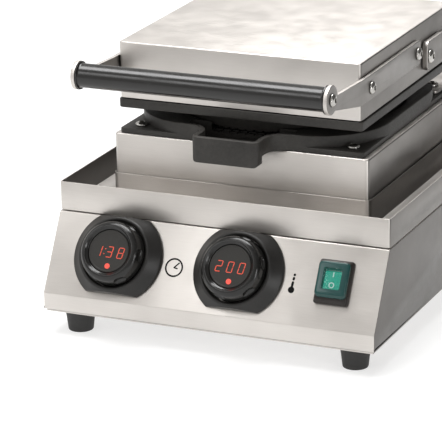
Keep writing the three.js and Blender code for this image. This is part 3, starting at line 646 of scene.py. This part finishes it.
def hinge_link(node):
    """A link from the lid's pivot, narrowing to the hinge shaft and its short tail."""
    low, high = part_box(node)
    pin_y, pin_z = hinge_line()
    corner, radius, tail = 5 * MM, 9.5 * MM, 7 * MM
    waist, neck, tail_start = low.y + 39 * MM, low.y + 63 * MM, pin_y + 8 * MM
    points = arc((low.y + corner, high.z - corner), corner, 90, 180, 5)
    points += arc((low.y + corner, low.z + corner), corner, 180, 270, 5)
    points += [(waist, low.z), (neck, pin_z - radius), (pin_y, pin_z - radius), (tail_start, pin_z - tail)]
    points += arc((high.y - 2 * MM, pin_z - tail + 2 * MM), 2 * MM, 270, 360, 5)
    points += arc((high.y - 2 * MM, pin_z + tail - 2 * MM), 2 * MM, 0, 90, 5)
    points += [(tail_start, pin_z + tail), (pin_y, pin_z + radius), (neck, pin_z + radius), (waist, high.z)]
    return plate_across(points, low.x, high.x, 0.5 * MM)


def hinge_line():
    """The hinge's place from front to back and its height."""
    low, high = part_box("hinge_shaft")
    return (low.y + high.y) / 2, (low.z + high.z) / 2


def hinge_shaft():
    _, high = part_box("hinge_shaft")
    _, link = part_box("hinge_link_right")
    y, z = hinge_line()
    cap, radius, seat, end = 7.5 * MM, 5 * MM, link.x + 0.3 * MM, high.x
    return rod_across(mirrored_profile([
        (0, end), (cap - 2.6 * MM, end), (cap - 1.2 * MM, end - 0.4 * MM), (cap - 0.3 * MM, end - 1.1 * MM),
        (cap, end - 1.8 * MM), (cap, seat + 0.2 * MM), (cap - 0.2 * MM, seat), (radius, seat),
    ]), y, z, 48)


def stop_rod():
    low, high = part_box("lid_stop_rod")
    radius, end = (high.y - low.y) / 2, high.x
    return rod_across(mirrored_profile([
        (0, end), (radius - 0.6 * MM, end), (radius, end - 0.6 * MM),
    ]), (low.y + high.y) / 2, (low.z + high.z) / 2, 40)


def hinge_bracket(node):
    """A strap under the rear plate screw, folded up into an ear that carries the shaft."""
    low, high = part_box(node)
    outer_x = max((low.x, high.x), key=abs)
    inner_x = outer_x - math.copysign(4 * MM, outer_x)
    strap = slab((low.x, high.x, low.y, high.y), 4 * MM, low.z, low.z + 2.5 * MM)
    ear_front, corner = high.y - 40 * MM, 6 * MM
    outline = rounded_rectangle(ear_front, high.y, low.z, high.z, corner)
    ear = plate_across(outline, min(outer_x, inner_x), max(outer_x, inner_x), 0.4 * MM)
    return combined(strap, "UNION", ear)


for side in ("left", "right"):
    piece(f"arm_plate_{side}", "lid", "stainless", lid_arm(f"lid_arm_{side}"), [f"lid_arm_{side}"])
    piece(f"link_plate_{side}", "lid_links", "stainless",
          hinge_link(f"hinge_link_{side}"), [f"hinge_link_{side}"])
    piece(f"bracket_plate_{side}", "base", "stainless",
          hinge_bracket(f"hinge_bracket_{side}"), [f"hinge_bracket_{side}"])
piece("handle_turned", "lid", "handle_black", handle(), ["handle_grip"])
piece("shaft_turned", "lid_links", "stainless", hinge_shaft(), ["hinge_shaft"])
piece("stop_rod_turned", "base", "stainless", stop_rod(), ["lid_stop_rod"])

# Screws


def socket_screw(node, axis, sign):
    """A domed head with a hexagonal socket on a plain shank, the size of its node."""
    low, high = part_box(node)
    along = "XYZ".index(axis)
    centre = (low + high) / 2
    radius = max((high - low)[i] for i in range(3) if i != along) / 2
    length = (high - low)[along]
    scale = radius / (5.75 * MM)
    head, shank, socket = 3.2 * MM * scale, 3 * MM * scale, 2.35 * MM * scale
    edge = 0.5 * MM * scale
    profile = [(0, head - length), (shank - 0.3 * MM, head - length), (shank, head - length + 0.3 * MM)]
    profile += [(shank, 0), (radius - 0.2 * MM, 0), (radius, 0.2 * MM)]
    for i in range(9):
        angle = QUARTER * i / 8
        profile.append((radius * math.cos(angle) if i < 8 else 0, edge + (head - edge) * math.sin(angle)))
    hexagon = lathe([
        (0, head - 1.9 * MM * scale), (socket, head - 1.9 * MM * scale), (socket, head - 0.5 * MM * scale),
        (socket + 0.4 * MM * scale, head), (socket + 0.4 * MM * scale, head + MM), (0, head + MM)], 6)
    made = combined(lathe(profile, 48), "DIFFERENCE", hexagon)
    seat = list(centre)
    seat[along] = (high[along] if sign > 0 else low[along]) - sign * head
    turn = Vector((0, 0, 1)).rotation_difference(
        Vector([sign if i == along else 0 for i in range(3)])).to_matrix().to_4x4()
    return moved(made, turn, Matrix.Translation(seat))


for side, sign in (("left", -1), ("right", 1)):
    for end in ("front", "rear"):
        piece(f"plate_socket_screw_{end}_{side}", "base", "screw_steel",
              socket_screw(f"plate_screw_{end}_{side}", "Z", 1), [f"plate_screw_{end}_{side}"])
        piece(f"arm_socket_screw_{end}_{side}", "lid", "screw_steel",
              socket_screw(f"arm_screw_{end}_{side}", "X", sign), [f"arm_screw_{end}_{side}"])
    piece(f"handle_socket_screw_{side}", "lid", "screw_steel",
          socket_screw(f"handle_screw_{side}", "X", sign), [f"handle_screw_{side}"])
    piece(f"lid_pivot_stud_{side}", "lid", "screw_steel",
          socket_screw(f"lid_pivot_{side}", "X", sign), [f"lid_pivot_{side}"])
    piece(f"base_socket_screw_{side}", "base", "screw_steel",
          socket_screw(f"base_screw_{side}", "Z", -1), [f"base_screw_{side}"])

# Control panel

PANEL_TURN = math.radians(59.52)
PANEL_FOLD = Vector((0, -202.21, 37.7)) * MM
ON_PANEL = Matrix.Translation(PANEL_FOLD) @ Matrix.Rotation(PANEL_TURN, 4, "X")
KNOB_UP = 40 * MM
DIGITS_OUT, LAMP_OUT = 22.4 * MM, 22.3 * MM


def on_panel(mesh, x, up, out=0.0, turn=0.0):
    """The mesh stood on the panel: X to the right, Y up the slope, Z out of it."""
    return moved(mesh, ON_PANEL @ Matrix.Translation((x, up, out)) @ Matrix.Rotation(turn, 4, "Z"))


def bezel(x):
    """A cone with two flats, its rim rolled over around the knob."""
    profile = [(29, 0.3), (41.1, 0.3), (41.5, 0.7), (41.5, 2.5), (41.2, 3.1), (40.6, 3.6), (33.4, 10.9)]
    profile += [(32.7, 11.7), (31.9, 12.15), (31.2, 12.2), (30.4, 11.9), (29.9, 11.2), (29, 10.4)]
    cone = lathe([(r * MM, z * MM) for r, z in profile], 128, hollow=True)
    flats = slab((-42 * MM, 42 * MM, -34 * MM, 34 * MM), MM, -MM, 14 * MM, 0.3 * MM, 0.3 * MM)
    return on_panel(combined(cone, "INTERSECT", flats), x, KNOB_UP)


def ring_knob(x, turn):
    """A barrel with finger scallops and a dished front rim."""
    profile = [(19.4, -8), (21, -8), (21, 2), (28, 2), (28.4, 2.4), (28.4, 12.8), (28.1, 14.0)]
    profile += [(26.9, 20.6), (26.5, 22.0), (25.5, 23.1), (24.5, 24.0), (23.4, 24.6), (22.4, 24.9)]
    profile += [(21.9, 24.8), (21.2, 24.1), (20.4, 23.3), (19.6, 22.9), (19.4, 22.6)]
    barrel = lathe([(r * MM, z * MM) for r, z in profile], 128, hollow=True)
    tool_profile = [(0, 13.6), (8.6, 13.6), (10.4, 14.2), (11.6, 15.6), (12, 17.2)]
    tool_profile += [(12, 20.4), (11.6, 21.8), (10.6, 22.7), (9, 23.2), (0, 23.2)]
    scallops = []
    for i in range(6):
        angle = math.pi * i / 3
        scallops.append(moved(
            lathe([(r * MM, z * MM) for r, z in tool_profile], 56),
            Matrix.Translation((37.4 * MM * math.cos(angle), 37.4 * MM * math.sin(angle), 0))))
    return on_panel(combined(barrel, "DIFFERENCE", *scallops), x, KNOB_UP, turn=turn)


def display(x):
    """The round window, slightly sunk inside its rim."""
    profile = [(0, -10), (19, -10), (19, 21.6), (18.85, 22.2), (18.5, 22.5)]
    profile += [(17.4, 22.5), (17.2, 22.35), (0, 22.35)]
    return on_panel(lathe([(r * MM, z * MM) for r, z in profile], 96), x, KNOB_UP)


SEGMENTS = {"0": "abcdef", "1": "bc", "2": "abged", "3": "abgcd", "8": "abcdefg"}
DIGIT_HALF_WIDTH, DIGIT_HALF_HEIGHT, STROKE = 2.4 * MM, 4.6 * MM, 0.72 * MM
SLANT = math.tan(math.radians(9))


def segment(start, end):
    """One lit bar with pointed ends."""
    along = (Vector(end) - Vector(start)).normalized()
    aside = Vector((-along.y, along.x)) * STROKE / 2
    a, b = Vector(start) + along * 0.12 * MM, Vector(end) - along * 0.12 * MM
    tip = along * STROKE / 2
    plan = [a, a + tip - aside, b - tip - aside, b, b - tip + aside, a + tip + aside]
    plan = [(p.x + SLANT * p.y, p.y) for p in plan]
    return loft([[(x, y, z) for x, y in plan] for z in (0.0, 0.12 * MM)])


def digit(character, x, up):
    w, h = DIGIT_HALF_WIDTH, DIGIT_HALF_HEIGHT
    ends = {
        "a": ((-w, h), (w, h)), "b": ((w, 0), (w, h)), "c": ((w, -h), (w, 0)), "d": ((-w, -h), (w, -h)),
        "e": ((-w, -h), (-w, 0)), "f": ((-w, 0), (-w, h)), "g": ((-w, 0), (w, 0)),
    }
    return [moved(segment(*ends[bar]), Matrix.Translation((x, up, 0))) for bar in SEGMENTS[character]]


def dot(x, up, radius, height=0.12 * MM):
    """A raised spot with a softened rim."""
    soft = height * 0.4
    profile = [(0, 0), (radius, 0), (radius, height - soft), (radius - soft, height), (0, height)]
    return moved(lathe(profile, 28), Matrix.Translation((x, up, 0)))


def merged(meshes):
    """Separate closed bodies as one mesh."""
    shape = bmesh.new()
    for mesh in meshes:
        shape.from_mesh(mesh)
    result = bpy.data.meshes.new("merged")
    shape.to_mesh(result)
    shape.free()
    return result


DIGIT_PITCH = 10.4 * MM
DIALS = (
    ("time", "138", 0.0, 1.1 * MM),
    ("temperature", "200", math.radians(15), 0.3 * MM),
)
for setting, text, turn, shift in DIALS:
    x = sum(corner.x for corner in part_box(f"bezel_{setting}")) / 2
    piece(f"bezel_cone_{setting}", "base", "control_black", bezel(x), [f"bezel_{setting}"])
    piece(f"knob_ring_{setting}", f"{setting}_knob", "control_black",
          ring_knob(x, turn), [f"knob_{setting}"], SCALLOP_GLOSS)
    piece(f"display_face_{setting}", "base", "display_window", display(x), [f"display_{setting}"])
    lit = []
    for i, character in enumerate(text):
        lit += digit(character, (i - 1) * DIGIT_PITCH + shift, -0.8 * MM)
    if setting == "time":
        lit += [dot(shift - 4.4 * MM, 1.6 * MM, 0.5 * MM), dot(shift - 5.2 * MM, -2.8 * MM, 0.5 * MM)]
    piece(f"digits_{setting}", "base", "display_window",
          on_panel(merged(lit), x, KNOB_UP, DIGITS_OUT), material=DIGIT_RED)
    lens = dot(1.2 * MM, -13.3 * MM, 2.4 * MM, 0.4 * MM)
    piece(f"lamp_{setting}", "base", "display_window",
          on_panel(lens, x, KNOB_UP, LAMP_OUT), material=LAMP_RED)


def stroke_line(start, end, width, height=0.1 * MM):
    """A printed line with round ends."""
    a, b = Vector(start), Vector(end)
    heading = math.degrees(math.atan2(b.y - a.y, b.x - a.x))
    plan = arc(b, width / 2, heading - 90, heading + 90, 6)
    plan += arc(a, width / 2, heading + 90, heading + 270, 6)
    return loft([[(x, y, z) for x, y in plan] for z in (0.0, height)])


def printed_ring(x, up, radius, line, height=0.1 * MM):
    outer, inner = radius + line / 2, radius - line / 2
    ring = lathe([(inner, 0), (outer, 0), (outer, height), (inner, height)], 56, hollow=True)
    return moved(ring, Matrix.Translation((x, up, 0)))


CLOCK = Vector((-36.7, 36.5)) * MM
clock_marks = [printed_ring(*CLOCK, 7.7 * MM, 1.5 * MM)]
for length, heading in ((6 * MM, math.radians(47)), (3.2 * MM, math.radians(-12))):
    hand_tip = CLOCK + length * Vector((math.cos(heading), math.sin(heading)))
    clock_marks.append(stroke_line(CLOCK, hand_tip, 1.2 * MM))
bulb, tip = Vector((73.9, 30.2)) * MM, Vector((74.9, 45.0)) * MM
thermometer = [dot(bulb.x, bulb.y, 2.9 * MM, 0.1 * MM)]
for start, length in ((1.6, 6.0), (8.2, 3.2), (12.0, 2.4)):
    rise = (tip - bulb).normalized()
    thermometer.append(stroke_line(
        bulb + rise * (start + 1.1) * MM, bulb + rise * (start + length - 1.1) * MM, 2.2 * MM))
for name, marks in (("clock_print", clock_marks), ("thermometer_print", thermometer)):
    piece(name, "base", "control_black", on_panel(merged(marks), 0, 0, 0.02 * MM), material=PRINT_BLACK)

# Rocker switch

SWITCH_X, SWITCH_UP = 112 * MM, 40.5 * MM


def centred_slab(width, length, corner, low, high, low_radius=0.2 * MM, high_radius=0.6 * MM):
    """A slab around the switch's centre line."""
    bounds = (-width / 2, width / 2, -length / 2, length / 2)
    return slab(bounds, corner, low, high, low_radius, high_radius)


def switch_frame():
    """The bezel, the body that snaps into the panel, three terminals and the rocker's pocket."""
    frame_part = centred_slab(31 * MM, 39 * MM, 2.5 * MM, 0.3 * MM, 4 * MM, 0.2 * MM, 1.1 * MM)
    body_part = centred_slab(27 * MM, 35 * MM, MM, -26 * MM, MM)
    tabs = [
        moved(
            centred_slab(6 * MM, 0.8 * MM, 0.2 * MM, -33 * MM, -25 * MM, 0.1 * MM, 0.1 * MM),
            Matrix.Translation((0, y * MM, 0)))
        for y in (-7, 0, 7)]
    pocket = centred_slab(16.2 * MM, 22 * MM, 0.6 * MM, -7 * MM, 10 * MM)
    body_part = combined(frame_part, "UNION", body_part, *tabs)
    return on_panel(combined(body_part, "DIFFERENCE", pocket), SWITCH_X, SWITCH_UP)


def boot_loops(levels):
    """A body through levels given in millimetres: width, length, corner, shift up the panel, height."""
    loops = []
    for width, length, corner, shift, z in levels:
        plan = rounded_rectangle(-width / 2, width / 2, shift - length / 2, shift + length / 2, corner)
        loops.append([(px * MM, py * MM, z * MM) for px, py in plan])
    return loft(loops)


def boot_window_plan(width, length):
    return (-width / 2 * MM, width / 2 * MM, (2 - length / 2) * MM, (2 + length / 2) * MM)


def boot():
    """The raised cap of the boot, hollow, with an opening for its clear window."""
    outer = boot_loops((
        (28.2, 31.4, 3.6, 1.5, 6.1), (28.2, 31.2, 3.6, 1.55, 7.6), (27.8, 30.4, 3.6, 1.8, 8.7),
        (26.8, 29.2, 3.6, 1.95, 9.5), (25.2, 27.6, 3.2, 2.0, 9.9), (23.6, 26.0, 3.0, 2.0, 10.0)))
    inner = boot_loops((
        (24.8, 28.4, 2.4, 1.4, 5.5), (24.6, 27.6, 2.4, 1.6, 8.2), (23.2, 26.0, 2.2, 1.9, 9.0)))
    opening = slab(boot_window_plan(16.4, 18.4), 1.6 * MM, 8 * MM, 11 * MM)
    return on_panel(combined(outer, "DIFFERENCE", inner, opening), SWITCH_X, SWITCH_UP)


def boot_window():
    """The clear pane over the rocker."""
    pane = slab(boot_window_plan(16.1, 18.1), 1.4 * MM, 9.2 * MM, 9.8 * MM, 0.1 * MM, 0.2 * MM)
    return on_panel(pane, SWITCH_X, SWITCH_UP)


def boot_skirt():
    """The dark slopes around the foot of the boot."""
    outer = boot_loops((
        (29.4, 37.0, 2.4, 0.0, 4.05), (29.4, 37.0, 2.4, 0.0, 4.5), (29.0, 36.2, 2.6, 0.1, 4.9),
        (28.6, 33.2, 3.2, 0.9, 6.0), (28.4, 32.0, 3.6, 1.3, 6.3)))
    inner = boot_loops(((24.8, 32.4, 2.0, 0.0, 3.8), (24.8, 28.4, 2.4, 1.2, 6.6)))
    return on_panel(combined(outer, "DIFFERENCE", inner), SWITCH_X, SWITCH_UP)


def rocker():
    """The lens seen from its side, round below and with its far end pressed up, carried across."""
    half_length, shoulder, belly, crown = 9.5, 3.6, 8.0, 8.2
    side = [(-half_length, shoulder)]
    for i in range(1, 12):
        t = math.pi * i / 12
        side.append((-half_length * math.cos(t), shoulder - belly * math.sin(t)))
    side += [(half_length, shoulder), (half_length - 0.8, crown - 1.8), (half_length - 1.3, crown - 1.45)]
    side += [(4.0, crown - 1.15), (0, crown - 0.95), (-4.0, crown - 0.5)]
    side += [(-half_length + reach, crown - drop) for reach, drop in ((2.2, 0.08), (1.6, 0.1), (1.2, 0.5))]
    loops = []
    for inset, x in fillet_levels(-7.5, 7.5, 0.5, 0.5, 3):
        centre = Vector((0, 2.0))
        loops.append([
            (x * MM, *((centre + (Vector(p) - centre) * (1 - inset / 9)) * MM)) for p in side])
    return on_panel(loft(loops), SWITCH_X, SWITCH_UP)


switch_marks = [
    moved(stroke_line((0, 4.2 * MM), (0, 7.8 * MM), 1.0 * MM), Matrix.Translation((0, 0, 7.05 * MM))),
    moved(printed_ring(0, -3.4 * MM, 2.1 * MM, 0.8 * MM, 0.3 * MM), Matrix.Translation((0, 0, 7.75 * MM))),
]
piece("switch_frame", "base", "control_black", switch_frame(), ["switch_housing"], BOOT_SKIRT)
piece("boot_cap", "base", "switch_boot", boot(), ["switch_boot"])
piece("boot_window", "base", "switch_boot", boot_window(), material=BOOT_WINDOW)
piece("boot_slopes", "base", "switch_boot", boot_skirt(), material=BOOT_SKIRT)
piece("rocker_lens", "rocker", "switch_green", rocker(), ["switch_rocker"])
piece("rocker_marks", "rocker", "switch_green",
      on_panel(merged(switch_marks), SWITCH_X, SWITCH_UP), material=PRINT_WHITE)

# Feet and gland


def foot(node):
    """A tapered rubber foot with a screw recess below and a stud above."""
    low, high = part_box(node)
    top, post = 20.4, 28.4
    profile = [(0, 0.0), (10.3, 0.0), (10.9, 0.3), (11.25, 1.0), (11.5, 3.0), (12.4, 11.0)]
    profile += [(13.6, top - 1.2), (13.72, top - 0.7), (13.6, top - 0.3), (13.2, top)]
    profile += [(3, top), (3, post - 0.4), (2.6, post), (0, post)]
    made = lathe([(r * MM, z * MM) for r, z in profile], 64)
    ring = lathe([(r * MM, z * MM) for r, z in ((0, -1), (6, -1), (6, 1.6), (5.2, 2.2), (0, 2.2))], 40)
    return moved(combined(made, "DIFFERENCE", ring), Matrix.Translation((low + high).xy.to_3d() / 2))


def cable_gland():
    """A hexagonal gland with a domed cap, pointing backwards."""
    low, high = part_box("cable_gland")
    profile = [(0, -8), (7.6, -8), (7.6, 0.3), (12.2, 0.3), (12.5, 0.6), (12.5, 5.6)]
    profile += [(12.1, 6.1), (10.8, 7.6), (10.4, 8.2), (8.9, 13.2), (8.4, 13.8), (7.8, 14)]
    profile += [(5.6, 14), (5.0, 13.5), (5.0, 4), (0, 4)]
    made = lathe([(r * MM, z * MM) for r, z in profile], 64)
    nut, round_part = (
        lathe([(0, -9 * MM), (radius * MM, -9 * MM), (radius * MM, 15 * MM), (0, 15 * MM)], sides)
        for radius, sides in ((12.5, 6), (11.2, 64)))
    shaped = combined(made, "INTERSECT", combined(nut, "UNION", round_part))
    centre = (low + high) / 2
    return moved(
        shaped, Matrix.Rotation(-QUARTER, 4, "X"),
        Matrix.Translation((centre.x, high.y - 14 * MM, centre.z)))


for end in ("front", "rear"):
    for side in ("left", "right"):
        node = f"foot_{end}_{side}"
        piece(f"rubber_{node}", "base", "rubber", foot(node), [node])
piece("gland_turned", "base", "control_black", cable_gland(), ["cable_gland"])

# Camera, floor and light

CAMERA_PLACE = Vector((0.95896, -2.32593, 0.88984))
CAMERA_YAW, CAMERA_PITCH, CAMERA_ROLL = 0.417549, 0.318611, 0.019183
CAMERA_LENS = 235.45
SENSOR = 36.0


def front_camera():
    camera = bpy.data.cameras.new("camera")
    camera.lens = CAMERA_LENS
    camera.sensor_width = SENSOR
    camera.clip_start = 0.05
    camera.clip_end = 60
    obj = bpy.data.objects.new("camera", camera)
    obj.matrix_world = (
        Matrix.Translation(CAMERA_PLACE)
        @ Matrix.Rotation(CAMERA_YAW, 4, "Z")
        @ Matrix.Rotation(QUARTER - CAMERA_PITCH, 4, "X")
        @ Matrix.Rotation(-CAMERA_ROLL, 4, "Z"))
    scene.collection.objects.link(obj)
    scene.camera = obj


def area_light(name, place, target, size, power):
    light = bpy.data.lights.new(name, "AREA")
    light.shape = "RECTANGLE"
    light.size, light.size_y = size
    light.energy = power
    obj = bpy.data.objects.new(name, light)
    obj.location = place
    obj.rotation_euler = (Vector(target) - Vector(place)).to_track_quat("-Z", "Y").to_euler()
    scene.collection.objects.link(obj)


def surrounding_light():
    """A pale room, brightest in front and on the left, dim on the right."""
    world = bpy.data.worlds.new("studio")
    world.use_nodes = True
    tree = world.node_tree
    background = tree.nodes["Background"]
    place = tree.nodes.new("ShaderNodeTexCoord")
    across = tree.nodes.new("ShaderNodeVectorMath")
    across.operation = "DOT_PRODUCT"
    across.inputs[1].default_value = (0.90, 0.43, 0.0)
    falloff = tree.nodes.new("ShaderNodeMapRange")
    falloff.interpolation_type = "SMOOTHSTEP"
    falloff.inputs["From Min"].default_value = -0.1
    falloff.inputs["From Max"].default_value = 0.9
    falloff.inputs["To Min"].default_value = 0.72
    falloff.inputs["To Max"].default_value = 0.16
    tree.links.new(place.outputs["Generated"], across.inputs[0])
    tree.links.new(across.outputs["Value"], falloff.inputs["Value"])
    tree.links.new(falloff.outputs["Result"], background.inputs["Strength"])
    background.inputs["Color"].default_value = (1.0, 0.985, 0.965, 1)
    scene.world = world


def studio_floor():
    half = 6.0
    mesh = bpy.data.meshes.new("floor")
    corners = [(-half, -half, 0), (half, -half, 0), (half, half, 0), (-half, half, 0)]
    mesh.from_pydata(corners, [], [(0, 1, 2, 3)])
    nodes = Nodes("floor_lit", Specular_IOR_Level=0.1, Emission_Strength=0.62)
    fibre = nodes.noise(90, 3, 0.6)
    mesh.materials.append(nodes.shade(
        Base_Color=nodes.tones(fibre, (0.42, 0.42, 0.418), (0.46, 0.46, 0.457)),
        Roughness=nodes.ramp(fibre, 0.75, 0.9)))
    floor = bpy.data.objects.new("floor", mesh)
    scene.collection.objects.link(floor)


front_camera()
surrounding_light()
studio_floor()
area_light("overhead", (-0.2, 0.1, 1.7), (0, 0, 0.1), (1.6, 0.9), 42)
area_light("front_left", (-2.2, -0.9, 1.9), (0, 0, 0.1), (1.2, 1.2), 8)
area_light("panel_fill", (-0.77, -1.58, 1.28), (0, -0.19, 0.07), (0.2, 0.7), 2.2)
area_light("edge_strip", (1.5, -0.85, 0.35), (0, 0, 0.15), (0.2, 0.7), 4)
scene.view_settings.view_transform = "Standard"
